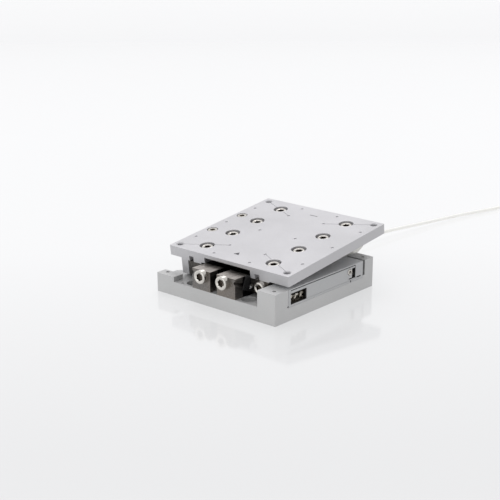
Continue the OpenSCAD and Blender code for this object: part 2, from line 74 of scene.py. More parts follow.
# Vertices closer than this, in metres, merge
WELD = 1e-8
# The upward part of a normal at which a face starts, and ends, to count as looking up
UPWARD = (0.3, 0.9)

Number = Union[int, float]
Radius = Callable[[float], float]
Colour = tuple[float, float, float]
Ring = list[bmesh.types.BMVert]


def shade(colour: Colour, factor: float) -> Colour:
    """Return the colour with every channel multiplied by a factor."""
    return tuple(channel * factor for channel in colour)


# ---------------------------------------------------------------- shader maths


class Value:
    """A float socket of a material, on which arithmetic adds Math nodes."""

    def __init__(self, graph: "Graph", socket: bpy.types.NodeSocket) -> None:
        """Keep the socket and the graph that it belongs to."""
        self.graph = graph
        self.socket = socket

    def _math(self, operation: str, first: object, second: object) -> "Value":
        """Add one Math node.

        Args:
            operation: the node's operation.
            first: the first operand, a Value or a number.
            second: the second operand, a Value or a number.

        Returns:
            The node's result.
        """
        return self.graph.node("ShaderNodeMath", {"operation": operation}, {0: first, 1: second})

    def __add__(self, other: object) -> "Value":
        """Return self + other."""
        return self._math("ADD", self, other)

    def __radd__(self, other: object) -> "Value":
        """Return other + self."""
        return self._math("ADD", other, self)

    def __sub__(self, other: object) -> "Value":
        """Return self - other."""
        return self._math("SUBTRACT", self, other)

    def __rsub__(self, other: object) -> "Value":
        """Return other - self."""
        return self._math("SUBTRACT", other, self)

    def __mul__(self, other: object) -> "Value":
        """Return self * other."""
        return self._math("MULTIPLY", self, other)

    def __rmul__(self, other: object) -> "Value":
        """Return other * self."""
        return self._math("MULTIPLY", other, self)

    def above(self, edge: Number) -> "Value":
        """Return 1 where self is greater than edge, and 0 elsewhere."""
        return self._math("GREATER_THAN", self, edge)


class Graph:
    """The node tree of one material, with its shader and output."""

    def __init__(self, name: str) -> None:
        """Make a new material of that name."""
        self.material = bpy.data.materials.new(name)
        self.material.use_nodes = True
        self.tree = self.material.node_tree
        self.tree.nodes.clear()
        self.shader = self.tree.nodes.new("ShaderNodeBsdfPrincipled")
        output = self.tree.nodes.new("ShaderNodeOutputMaterial")
        self.tree.links.new(self.shader.outputs["BSDF"], output.inputs["Surface"])

    def feed(self, socket: bpy.types.NodeSocket, value: object) -> None:
        """Link a value into a socket, or set it there when it is a constant."""
        if isinstance(value, Value):
            self.tree.links.new(value.socket, socket)
        elif isinstance(value, (tuple, list)) and socket.type == "RGBA" and len(value) == 3:
            socket.default_value = (*value, 1.0)
        else:
            socket.default_value = value

    def node(
        self, kind: str, settings: dict | None = None, inputs: dict | None = None, output: object = 0,
    ) -> Value:
        """Add any node: its type, then its settings, then its sockets.

        Args:
            kind: the node's type.
            settings: attributes to set before any socket.
            inputs: values or links, by socket name or index.
            output: the name or index of the output to return.

        Returns:
            The wanted output.
        """
        made = self.tree.nodes.new(kind)
        for key, value in (settings or {}).items():
            setattr(made, key, value)
        for key, value in (inputs or {}).items():
            self.feed(made.inputs[key], value)
        return Value(self, made.outputs[output])

    def place(self) -> Value:
        """Return the object coordinates, in metres."""
        return self.node("ShaderNodeTexCoord", output="Object")

    def part(self, vector: Value, axis: int) -> Value:
        """Return one component of a vector."""
        return self.node("ShaderNodeSeparateXYZ", inputs={0: vector}, output=axis)

    def scaled(self, vector: Value, scale: Sequence[float]) -> Value:
        """Return the vector with its components multiplied by scale."""
        return self.node("ShaderNodeVectorMath", {"operation": "MULTIPLY"}, {0: vector, 1: tuple(scale)})

    def noise(self, vector: Value, scale: float, detail: float = 3.0, roughness: float = 0.55) -> Value:
        """Return a noise value about 0.5."""
        inputs = {"Vector": vector, "Scale": scale, "Detail": detail, "Roughness": roughness}
        return self.node("ShaderNodeTexNoise", inputs=inputs)

    def ramp(self, value: Value, low: float, high: float, dark: float = 0.0, light: float = 1.0) -> Value:
        """Map a value from the range low to high onto dark to light, clamped."""
        inputs = {"Value": value, "From Min": low, "From Max": high, "To Min": dark, "To Max": light}
        return self.node("ShaderNodeMapRange", {"clamp": True}, inputs)

    def mix(self, factor: object, first: object, second: object) -> Value:
        """Mix two colours by a factor."""
        made = self.tree.nodes.new("ShaderNodeMix")
        made.data_type = "RGBA"
        colours = [socket for socket in made.inputs if socket.type == "RGBA"]
        self.feed(made.inputs[0], factor)
        self.feed(colours[0], first)
        self.feed(colours[1], second)
        return Value(self, next(socket for socket in made.outputs if socket.type == "RGBA"))

    def facing_up(self, side: float = 0.0, top: float = 1.0) -> Value:
        """Return side on upright faces and top on faces that look up, with a soft step between."""
        upward = self.part(self.node("ShaderNodeTexCoord", output="Normal"), 2)
        return self.ramp(upward, *UPWARD, side, top)

    def bump(self, height: Value, distance: float, strength: float) -> Value:
        """Turn a height from 0 to 1 into a bent normal.

        Args:
            height: the height.
            distance: what a height of 1 stands for, in metres.
            strength: how much of it is used.

        Returns:
            The bent normal.
        """
        inputs = {"Height": height, "Distance": distance, "Strength": strength}
        return self.node("ShaderNodeBump", inputs=inputs)

    def surface(self, **inputs: object) -> None:
        """Set the shader's sockets; an underscore in a name stands for a space."""
        for key, value in inputs.items():
            self.feed(self.shader.inputs[key.replace("_", " ")], value)


# ---------------------------------------------------------------- finishes


@dataclass(frozen=True)
class BlastedAnodise:
    """Bead-blasted, clear-anodised aluminium: fine grain, faint clouds and, if asked for, upward faces
    painted paler as painted light from above.

    With seam, whatever lies to the left of its x and below its z, in metres, is painted dark as painted shade
    in the seams and recesses.
    """

    colour: Colour
    roughness: float = 0.46
    metallic: float = 0.45
    painted_top_light: float = 1.0
    seam: tuple[float, float] = (0.0, 0.0)
    grain: float = 5200.0
    grain_height: float = 0.000012
    SEAM_SOFT: ClassVar[tuple[float, float]] = (0.00006, 0.00004)
    # painted shade: the share of the colour left where shade falls in the seams
    SEAM_SHADE: ClassVar[float] = 0.12

    def build(self, name: str) -> bpy.types.Material:
        """Return the material, made with that name."""
        graph = Graph(name)
        place = graph.place()
        clouds = graph.ramp(graph.noise(place, 55.0, 4.0), 0.35, 0.68)
        specks = graph.ramp(graph.noise(place, self.grain * 0.6, 1.0), 0.30, 0.72)
        base = graph.mix(clouds, shade(self.colour, 0.93), shade(self.colour, 1.04))
        specks_and_painted_light = graph.mix(specks * 0.16, base, shade(self.colour, 0.72))
        # painted light: faces that look up are painted paler, as if lit from above
        if self.painted_top_light != 1.0:
            specks_and_painted_light = graph.mix(graph.facing_up(), specks_and_painted_light, shade(self.colour, self.painted_top_light))
        # painted shade: the walls of the window and grooves are darkened where shade falls in them
        seam_x, seam_z = self.seam
        if seam_x:
            soft_x, soft_z = self.SEAM_SOFT
            inside = 1.0 - graph.ramp(graph.part(place, 0), seam_x - soft_x, seam_x)
            under = 1.0 - graph.ramp(graph.part(place, 2), seam_z - soft_z, seam_z)
            specks_and_painted_light = graph.mix(inside * under, specks_and_painted_light, shade(self.colour, self.SEAM_SHADE))
        pits = graph.noise(place, self.grain, 2.0, 0.6)
        graph.surface(
            Base_Color=specks_and_painted_light,
            Metallic=self.metallic,
            Roughness=graph.ramp(
                clouds + specks * 0.5, 0.0, 1.5, self.roughness - 0.04, self.roughness + 0.07,
            ),
            Normal=graph.bump(pits, self.grain_height, 0.55),
            Specular_IOR_Level=0.5,
        )
        return graph.material


@dataclass(frozen=True)
class GroundSteel:
    """Surface-ground hardened steel: straight grinding lines, faint heat tints and upward faces painted paler
    as painted light from above.

    All but the lit length of each end, first on its sides, then on its top, in metres, is painted near black
    as painted shade for the shade under the platform.
    """

    colour: Colour
    lines: tuple[float, float, float] = (2600.0, 90.0, 2600.0)
    roughness: float = 0.34
    painted_top_light: float = 2.5
    lit_ends: tuple[float, float] = (0.0, 0.0)
    half_length: float = 0.025
    painted_shadow: Colour = (0.012, 0.012, 0.013)
    EDGE: ClassVar[float] = 0.0002
    LINE_HEIGHT: ClassVar[float] = 0.000010

    def build(self, name: str) -> bpy.types.Material:
        """Return the material, made with that name."""
        graph = Graph(name)
        place = graph.place()
        strokes = graph.noise(graph.scaled(place, self.lines), 1.0, 3.0, 0.65)
        tint = graph.ramp(graph.noise(place, 140.0, 3.0), 0.35, 0.7)
        warm = tuple(channel * factor for channel, factor in zip(self.colour, (1.10, 1.02, 0.94)))
        cool = tuple(channel * factor for channel, factor in zip(self.colour, (0.88, 0.92, 0.97)))
        base = graph.mix(tint, cool, warm)
        worn = graph.mix(graph.ramp(strokes, 0.42, 0.72), base, shade(self.colour, 1.5))
        # painted light: upward faces painted paler, as if lit from above
        bare = graph.mix(graph.facing_up(), worn, shade(self.colour, self.painted_top_light))
        # painted shade: beyond the lit ends the steel is painted near black, for the shade under the platform
        side_end, top_end = self.lit_ends
        if top_end:
            along = graph.node("ShaderNodeMath", {"operation": "ABSOLUTE"}, {0: graph.part(place, 1)})
            limit = graph.facing_up(self.half_length - side_end, self.half_length - top_end)
            bare = graph.mix(graph.ramp(along - limit, 0.0, self.EDGE), self.painted_shadow, bare)
        graph.surface(
            Base_Color=bare,
            Metallic=1.0,
            Roughness=graph.ramp(strokes, 0.3, 0.7, self.roughness - 0.08, self.roughness + 0.12),
            Normal=graph.bump(strokes, self.LINE_HEIGHT, 0.5),
        )
        return graph.material


@dataclass(frozen=True)
class BrightMetal:
    """Plated or polished metal with fine tool marks."""

    colour: Colour
    roughness: float = 0.2
    mark_scale: float = 1400.0
    mark_height: float = 0.000006

    def build(self, name: str) -> bpy.types.Material:
        """Return the material, made with that name."""
        graph = Graph(name)
        place = graph.place()
        marks = graph.noise(graph.scaled(place, (1.0, 1.0, 4.0)), self.mark_scale, 3.0, 0.6)
        stain = graph.ramp(graph.noise(place, 420.0, 2.0), 0.4, 0.75)
        base = graph.mix(stain * 0.5, self.colour, shade(self.colour, 0.78))
        graph.surface(
            Base_Color=base,
            Metallic=1.0,
            Roughness=graph.ramp(
                marks + stain * 0.4, 0.3, 1.1, self.roughness - 0.05, self.roughness + 0.13,
            ),
            Normal=graph.bump(marks, self.mark_height, 0.5),
        )
        return graph.material


@dataclass(frozen=True)
class Moulding:
    """Moulded plastic, rubber, lacquer or film with a fine skin texture; glow, painted light given off by the
    surface, makes a white one paler.
    """

    colour: Colour
    roughness: float = 0.5
    skin_scale: float = 2600.0
    skin_height: float = 0.000008
    coat: float = 0.0
    glow: float = 0.0

    def build(self, name: str) -> bpy.types.Material:
        """Return the material, made with that name."""
        graph = Graph(name)
        place = graph.place()
        skin = graph.noise(place, self.skin_scale, 2.0)
        drift = graph.ramp(graph.noise(place, 120.0, 2.0), 0.35, 0.7)
        base = graph.mix(drift, shade(self.colour, 0.94), self.colour)
        graph.surface(
            Base_Color=base,
            Roughness=graph.ramp(skin, 0.3, 0.7, self.roughness - 0.05, self.roughness + 0.07),
            Normal=graph.bump(skin, self.skin_height, 0.5),
            Coat_Weight=self.coat,
            # painted light: the surface gives off light of its own colour
            Emission_Color=self.colour,
            Emission_Strength=self.glow,
        )
        return graph.material


@dataclass(frozen=True)
class Striped:
    """A surface with fine even stripes along one axis, such as stacked layers, a weave or a graduation."""

    colour: Colour
    stripe: Colour
    pitch: float
    axis: int = 1
    share: float = 0.5
    roughness: float = 0.4
    metallic: float = 0.0
    PHASE_OFFSET: ClassVar[float] = 1000.0
    RELIEF: ClassVar[float] = 0.00002

    def build(self, name: str) -> bpy.types.Material:
        """Return the material, made with that name."""
        graph = Graph(name)
        place = graph.place()
        along = graph.part(place, self.axis) * (1.0 / (self.pitch * MM))
        phase = graph.node("ShaderNodeMath", {"operation": "FRACT"}, {0: along + self.PHASE_OFFSET})
        lines = phase.above(self.share)
        grain = graph.noise(place, 2400.0, 2.0)
        base = graph.mix(lines, self.colour, self.stripe)
        shaded = graph.mix(graph.ramp(grain, 0.35, 0.7) * 0.2, base, shade(self.colour, 0.6))
        graph.surface(
            Base_Color=shaded,
            Metallic=self.metallic,
            Roughness=graph.ramp(grain, 0.3, 0.7, self.roughness - 0.05, self.roughness + 0.08),
            Normal=graph.bump(lines * 0.6 + grain * 0.3, self.RELIEF, 0.4),
        )
        return graph.material


@dataclass(frozen=True)
class StudioFloor:
    """Pale glossy acrylic table top that glows softly as painted light, most in its middle and less near and
    far, where the light falls off.
    """

    colour: Colour
    glow: float = 0.47
    near_glow: float = 0.43
    far_glow: float = 0.275

    def build(self, name: str) -> bpy.types.Material:
        """Return the material, made with that name."""
        graph = Graph(name)
        place = graph.place()
        wave = graph.noise(place, 3.0, 1.0)
        towards = graph.part(place, 1) - graph.part(place, 0)
        near, middle, far = (
            (glow * 0.995, glow, glow * 1.01) for glow in (self.near_glow, self.glow, self.far_glow)
        )
        # painted light: the glow is brightest in the middle and falls off towards the near and far ends
        front = graph.mix(graph.ramp(towards, -0.16, 0.06), near, middle)
        graph.surface(
            Base_Color=self.colour,
            Roughness=graph.ramp(wave, 0.3, 0.7, 0.07, 0.10),
            IOR=1.6,
            Emission_Color=graph.mix(graph.ramp(towards, 0.06, 0.95), front, far),
            Emission_Strength=1.0,
        )
        return graph.material


class Finish(Enum):
    """Every finish of the stage: rail_steel and socket_shade aside, each is named like the record's slot."""

    anodised_base = BlastedAnodise((0.57, 0.57, 0.567), 0.44)
    # painted light and shade: upward faces painted paler and seams painted dark
    anodised_cover = BlastedAnodise((0.50, 0.505, 0.51), 0.42, painted_top_light=1.4, seam=(0.0249, 0.00972))
    anodised_platform = BlastedAnodise((0.585, 0.58, 0.595), 0.42)
    # painted light: every ground steel finish paints its upward faces paler
    ground_steel = GroundSteel((0.12, 0.112, 0.104))
    # painted shade: the fixed rails are painted near black beyond their lit ends
    rail_steel = GroundSteel((0.18, 0.168, 0.156), lit_ends=(0.0036, 0.0064))
    bright_screw = BrightMetal((0.64, 0.615, 0.575), 0.16)
    dark_pin = BrightMetal((0.08, 0.08, 0.085), 0.35)
    drive_steel = GroundSteel((0.34, 0.32, 0.29), (900.0, 900.0, 3200.0), 0.38, 1.4)
    # painted shade: the dark colour of the screws' sockets, where shade falls in them
    socket_shade = BrightMetal((0.17, 0.15, 0.13), 0.2)
    piezo_ceramic = Striped((0.20, 0.11, 0.055), (0.09, 0.05, 0.03), 0.25, 1, 0.72, 0.35)
    white_ceramic = Moulding((0.84, 0.83, 0.78), 0.18, 900.0, 0.000003, 0.3)
    spring_steel = BrightMetal((0.55, 0.52, 0.46), 0.24)
    circuit_board = Striped((0.03, 0.16, 0.08), (0.05, 0.24, 0.12), 0.5, 2, 0.6, 0.35)
    black_chip = Moulding((0.025, 0.025, 0.027), 0.45)
    amber_film = Moulding((0.55, 0.26, 0.04), 0.28, 1200.0, 0.000004, 0.2)
    # painted light: the white jacket glows a little so that it looks paler
    white_jacket = Moulding((0.93, 0.925, 0.89), 0.42, 1800.0, 0.00001, glow=0.14)
    black_strap = Striped((0.035, 0.035, 0.04), (0.015, 0.015, 0.018), 0.3, 2, 0.6, 0.8)
    nickel_shell = BrightMetal((0.58, 0.57, 0.56), 0.28)
    gold_contact = BrightMetal((0.85, 0.60, 0.22), 0.2)
    black_film = Moulding((0.008, 0.008, 0.008), 0.6)
    scale_glass = Striped((0.10, 0.13, 0.22), (0.55, 0.52, 0.40), 0.4, 1, 0.55, 0.15, 0.4)
    cage_plastic = Moulding((0.012, 0.012, 0.013), 0.5)
    roller_steel = BrightMetal((0.62, 0.62, 0.62), 0.12)
    studio_floor = StudioFloor((0.36, 0.36, 0.36))

    def material(self) -> bpy.types.Material:
        """Return the finish's material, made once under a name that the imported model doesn't use."""
        name = f"{self.name}_surface"
        return bpy.data.materials.get(name) or self.value.build(name)


# ---------------------------------------------------------------- mesh helpers


def new_piece(
    name: str, mesh: bmesh.types.BMesh, finish: Finish, smooth_deg: float = 35.0,
) -> bpy.types.Object:
    """Turn a bmesh into an object with a finish.

    Args:
        name: the piece's name.
        mesh: the shape, in metres, which is freed.
        finish: the piece's finish.
        smooth_deg: the angle under which neighbouring faces shade as one surface.

    Returns:
        The linked object.
    """
    bmesh.ops.remove_doubles(mesh, verts=mesh.verts, dist=WELD)
    bmesh.ops.recalc_face_normals(mesh, faces=mesh.faces)
    data = bpy.data.meshes.new(name)
    mesh.to_mesh(data)
    mesh.free()
    data.polygons.foreach_set("use_smooth", [True] * len(data.polygons))
    data.set_sharp_from_angle(angle=math.radians(smooth_deg))
    piece = bpy.data.objects.new(name, data)
    bpy.context.scene.collection.objects.link(piece)
    data.materials.append(finish.material())
    return piece


def settle(piece: bpy.types.Object, body: str, nodes: Iterable[str] = ()) -> bpy.types.Object:
    """Make a piece ride on a body and report it.

    Args:
        piece: the piece.
        body: the body that it rides on.
        nodes: the CAD nodes that it replaces.

    Returns:
        The piece.
    """
    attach(piece, body)
    names = list(nodes)
    if names:
        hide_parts(*names)
    log.info("%s rides on %s%s", piece.name, body, " and replaces " + ", ".join(names) if names else "")
    return piece


def constant(radius: float) -> Radius:
    """Return the radius function of a circle."""
    return lambda angle: radius


def hexagon(across_flats: float) -> Radius:
    """Return the radius function of a hexagon of that width across its flats."""
    sixth = math.pi / 3

    def radius(angle: float) -> float:
        """Return the hexagon's radius at an angle."""
        return across_flats / 2 / math.cos((angle + sixth / 2) % sixth - sixth / 2)

    return radius


def knurled(radius: float, ridges: int, depth: float) -> Radius:
    """Return the radius function of a straight knurl.

    Args:
        radius: the radius over the ridges.
        ridges: how many ridges go round.
        depth: how deep the grooves between them are.

    Returns:
        The radius at each angle.
    """
    return lambda angle: radius - depth * (0.5 - 0.5 * math.cos(ridges * angle))


def turned(
    mesh: bmesh.types.BMesh,
    rings: Sequence[tuple[float, Radius | float]],
    place: Matrix,
    segments: int = 48,
    dark_from: int | None = None,
) -> None:
    """Add a closed shape made of rings about its own Z, each with a height and a radius, in millimetres.

    Args:
        mesh: the bmesh to add to.
        rings: heights and radii, or radius functions, from one end to the other; radius 0 closes an end.
        place: where the shape goes, in metres.
        segments: points round each ring.
        dark_from: the ring from which the faces take the piece's second material, if any do.
    """
    previous: Ring = []
    for index, (height, radius) in enumerate(rings):
        if not callable(radius) and radius == 0:
            current = [mesh.verts.new(place @ Vector((0, 0, height * MM)))]
        else:
            shape = radius if callable(radius) else constant(radius)
            current = []
            for step in range(segments):
                angle = 2 * math.pi * step / segments
                reach = shape(angle) * MM
                point = Vector((reach * math.cos(angle), reach * math.sin(angle), height * MM))
                current.append(mesh.verts.new(place @ point))
        if previous:
            dark = dark_from is not None and index > dark_from
            join_rings(mesh, previous, current, int(dark))
        previous = current


def join_rings(mesh: bmesh.types.BMesh, first: Ring, second: Ring, material: int = 0) -> None:
    """Join two rings of vertices with faces of one of the piece's materials; either may be a single point."""
    count = max(len(first), len(second))
    for step in range(count):
        after = (step + 1) % count
        if len(first) == 1:
            corners = (first[0], second[after], second[step])
        elif len(second) == 1:
            corners = (first[step], first[after], second[0])
        else:
            corners = (first[step], first[after], second[after], second[step])
        mesh.faces.new(corners).material_index = material


def slab(
    mesh: bmesh.types.BMesh, low: Sequence[float], high: Sequence[float], place: Matrix, edge: float,
) -> None:
    """Add a box with bevelled edges between two corners, in millimetres.

    Args:
        mesh: the bmesh to add to.
        low: the lowest corner.
        high: the highest corner.
        place: where the box goes, in metres.
        edge: the width of the bevels.
    """
    size = [(b - a) * MM for a, b in zip(low, high)]
    middle = Vector([(a + b) / 2 * MM for a, b in zip(low, high)])
    matrix = place @ Matrix.Translation(middle) @ Matrix.Diagonal((*size, 1.0))
    made = bmesh.ops.create_cube(mesh, size=1.0, matrix=matrix)
    edges = list({e for v in made["verts"] for e in v.link_edges})
    bmesh.ops.bevel(mesh, geom=edges, offset=edge * MM, segments=2, affect="EDGES", profile=0.5)


def spline_point(points: Sequence[Vector], index: int, share: float) -> Vector:
    """Return a point of the Catmull-Rom curve through the points, between index and index + 1."""
    before, start, end, after = (points[min(max(index + k, 0), len(points) - 1)] for k in (-1, 0, 1, 2))
    square, cube = share * share, share * share * share
    return 0.5 * (
        2 * start
        + (end - before) * share
        + (2 * before - 5 * start + 4 * end - after) * square
        + (3 * start - before - 3 * end + after) * cube
    )


def smooth_route(points: Sequence[Vector], steps: int) -> list[Vector]:
    """Return the curve through the points, with steps between each two."""
    spans = range(len(points) - 1)
    route = [spline_point(points, index, step / steps) for index in spans for step in range(steps)]
    return route + [points[-1].copy()]


def wire(name: str, points: Sequence[Vector], radius: float, finish: Finish) -> bpy.types.Object:
    """Make a round wire along points.

    Args:
        name: the piece's name.
        points: its centreline, in metres.
        radius: its radius, in metres.
        finish: its finish.

    Returns:
        The linked curve object.
    """
    data = bpy.data.curves.new(name, "CURVE")
    data.dimensions = "3D"
    data.bevel_depth = radius
    data.bevel_resolution = 4
    data.use_fill_caps = True
    spline = data.splines.new("POLY")
    spline.points.add(len(points) - 1)
    for target, point in zip(spline.points, points):
        target.co = (*point, 1.0)
    spline.use_smooth = True
    piece = bpy.data.objects.new(name, data)
    bpy.context.scene.collection.objects.link(piece)
    data.materials.append(finish.material())
    return piece


# ---------------------------------------------------------------- where things are


@dataclass(frozen=True)
class StageFrame:
    """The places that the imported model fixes: its tilt axis and its rest tilt."""

    axis_height: float
    rest_tilt: float

    @classmethod
    def of(cls, frame: dict) -> "StageFrame":
        """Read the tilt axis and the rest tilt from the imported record."""
        record = frame["record"]
        joint = next(j for j in record["behaviour"]["joints"] if j["name"] == "tilt")
        top = next(m for m in record["mounts"] if m["name"] == "platform_top")
        return cls(joint["pos_m"][2], math.atan2(-top["axis"][1], top["axis"][2]))

    def turned(self, share: float = 1.0) -> Matrix:
        """Return the turn about the tilt axis that takes a level part to a share of the rest tilt."""
        up = Matrix.Translation((0, 0, self.axis_height))
        return up @ Matrix.Rotation(self.rest_tilt * share, 4, "X") @ up.inverted()


class Facing(Enum):
    """The way a screw's head faces, with the turn that takes +Z there."""

    UP = Matrix.Identity(4)
    FRONT = Matrix.Rotation(math.radians(90), 4, "X")
    BACK = Matrix.Rotation(math.radians(-90), 4, "X")
    RIGHT = Matrix.Rotation(math.radians(90), 4, "Y")


# ---------------------------------------------------------------- screws


@dataclass
class CapScrews:
    """A group of like socket-head cap screws that replaces one CAD node."""

    name: str
    node: str
    body: str
    seats: Sequence[tuple[float, float, float]]
    facings: Sequence[Facing]
    head_r: float
    head_h: float
    shank_r: float = 1.2
    shank: float = 3.4
    socket: float = 2.0
    socket_depth: float = 1.1
    ridges: int = 24
    turn: Matrix = field(default_factory=lambda: Matrix.Identity(4))
    SEGMENTS: ClassVar[int] = 96
    SOCKET_RING: ClassVar[int] = 12
    FIRST_SPIN_DEG: ClassVar[float] = 17
    NEXT_SPIN_DEG: ClassVar[float] = 47

    def rings(self) -> list[tuple[float, Radius | float]]:
        """Return the screw's profile from the end of its shank to the bottom of its socket."""
        top, head = self.head_h, self.head_r
        knurl = knurled(head, self.ridges, 0.05) if self.ridges else constant(head)
        flats = hexagon(self.socket)
        floor = top - self.socket_depth
        return [
            (-self.shank, 0.0), (-self.shank, self.shank_r - 0.2), (-self.shank + 0.2, self.shank_r),
            (0.0, self.shank_r), (0.0, head - 0.12), (0.09, knurl), (top - 0.34, knurl),
            (top - 0.28, head - 0.03), (top - 0.1, head - 0.1), (top, head - 0.26),
            (top, self.socket * 0.5 + 0.42),
            (top - 0.04, self.socket * 0.5 + 0.36), (top - 0.2, flats), (floor, flats), (floor - 0.25, 0.0),
        ]

    def build(self) -> bpy.types.Object:
        """Build the group, each screw with its socket turned its own way.

        Returns:
            The piece.
        """
        mesh = bmesh.new()
        for index, (seat, facing) in enumerate(zip(self.seats, self.facings)):
            spin_deg = self.FIRST_SPIN_DEG + self.NEXT_SPIN_DEG * index
            spin = Matrix.Rotation(math.radians(spin_deg), 4, "Z")
            place = self.turn @ Matrix.Translation(Vector(seat) * MM) @ facing.value @ spin
            turned(mesh, self.rings(), place, self.SEGMENTS, self.SOCKET_RING)
        piece = new_piece(self.name, mesh, Finish.bright_screw, 40)
        # painted shade: the faces inside each socket take the dark socket material
        piece.data.materials.append(Finish.socket_shade.material())
        return settle(piece, self.body, [self.node])


@dataclass
class StageScrews:
    """All the screws that show: on the platform, in the rails' ends and in the side cover."""

    stage: StageFrame
    half: float = 25.0
    platform_x: float = 14.0
    platform_ys: tuple[float, ...] = (-18.75, -6.25, 6.25, 18.75)
    platform_seat_z: float = 14.75
    fixed_end_x: float = 4.5
    fixed_end_z: float = 9.5
    moving_end_x: float = 14.2
    moving_end_z: float = 11.0
    inlay_at: tuple[float, float, float] = (24.55, 12.15, 7.9)

    def build(self) -> None:
        """Build every group."""
        columns = (-self.platform_x, self.platform_x)
        tops = [(x, y, self.platform_seat_z) for x in columns for y in self.platform_ys]
        turn = self.stage.turned()
        CapScrews("platform_cap_screws", "platform_screws", "platform_body", tops, [Facing.UP] * len(tops),
                  1.95, 1.6, shank=4.5, socket=1.95, turn=turn).build()
        x, z = self.fixed_end_x, self.fixed_end_z
        fixed = [(x, -self.half, z), (-x, -self.half, z), (x, self.half, z), (-x, self.half, z)]
        CapScrews("fixed_rail_end_screws", "fixed_end_screws", "base", fixed,
                  [Facing.FRONT] * 2 + [Facing.BACK] * 2, 2.25, 1.8, shank=3.5, socket=2.25).build()
        x, z = self.moving_end_x, self.moving_end_z
        moving = [(x, -self.half, z), (x, self.half, z), (-x, self.half, z)]
        CapScrews("moving_rail_end_screws", "moving_end_screws", "platform_body", moving,
                  [Facing.FRONT] + [Facing.BACK] * 2, 2.0, 1.8, shank=3.5, socket=2.0, turn=turn).build()
        CapScrews("inlay_cap_screw", "inlay_screw", "base", [self.inlay_at], [Facing.RIGHT], 0.95, 0.7,
                  shank_r=0.55, shank=2.9, socket=0.9, socket_depth=0.45, ridges=0).build()


# ---------------------------------------------------------------- the lead and its connector


@dataclass
class Lead:
    """The thin white lead: out of the gland, along the table, into a coil and on to its connector."""

    diameter: float = 1.3
    route: tuple[tuple[float, float, float], ...] = (
        (-6, 29, 2.4), (-6, 40, 2.5), (-5.3, 52, 2.6), (-4.1, 66, 2.5), (-2.7, 79, 2.1),
        (-0.8, 92, 1.6), (1.2, 105, 1.2), (3.3, 116, 1), (6, 127, 0.8), (8.6, 136, 0.8), (10.3, 141.8, 1),
    )
    tail: tuple[tuple[float, float, float], ...] = (
        (26.7, 153.3, 5), (30, 151.9, 4.8), (33, 151, 4.3), (36, 150.7, 3.7), (37.6, 150.6, 3.42),
        (39, 150.6, 3.4),
    )
    coil_middle: tuple[float, float] = (21.6, 143.9)
    coil_out: float = 9.85
    coil_pitch: float = 1.35
    coil_base: float = 0.35
    turns: int = 4
    layers: int = 4
    entry_deg: float = 159.5
    leaving_turns: float = 0.2
    points_per_turn: int = 30
    climb: float = 0.15
    steps_between: int = 5

    def coil_point(self, turns: float) -> Vector:
        """Return the point of the coil's centreline after so many turns, in millimetres."""
        layer = min(int(turns / self.turns), self.layers - 1)
        along = turns - layer * self.turns
        inward = layer % 2 == 0
        coil_in = self.coil_out - self.turns * self.coil_pitch
        radius = self.coil_out - self.coil_pitch * along if inward else coil_in + self.coil_pitch * along
        last = layer == self.layers - 1
        rise = 0.0 if last else min(max((along - self.turns + self.climb) / self.climb, 0.0), 1.0)
        height = self.coil_base + self.diameter / 2 + self.coil_pitch * (layer + rise * rise * (3 - 2 * rise))
        angle = math.radians(self.entry_deg - 360 * turns)
        return Vector((
            self.coil_middle[0] + radius * math.cos(angle),
            self.coil_middle[1] + radius * math.sin(angle),
            height,
        ))

    def centreline(self) -> list[Vector]:
        """Return the lead's whole centreline, in metres."""
        total = self.turns * self.layers + self.leaving_turns
        count = round(total * self.points_per_turn)
        coil = [self.coil_point(total * step / count) for step in range(count + 1)]
        start = smooth_route([Vector(p) for p in self.route] + coil[:2], self.steps_between)
        # The spline is only kept as far as the coil's first point
        start = start[:len(self.route) * self.steps_between]
        end = smooth_route([coil[-1]] + [Vector(p) for p in self.tail], self.steps_between)
        return [point * MM for point in start + coil[:-1] + end]

    def build(self, with_pieces: Sequence[bpy.types.Object]) -> bpy.types.Object:
        """Args:
            with_pieces: the pieces on it; not used.

        Returns:
            The lead.
        """
        points = self.centreline()
        length = sum((b - a).length for a, b in zip(points, points[1:]))
        piece = wire("lead", points, self.diameter / 2 * MM, Finish.white_jacket)
        settle(piece, "base", ["cable_tube", "cable_coil", "cable_tail"])
        log.info("the lead is %.3f m long", length)
        return piece


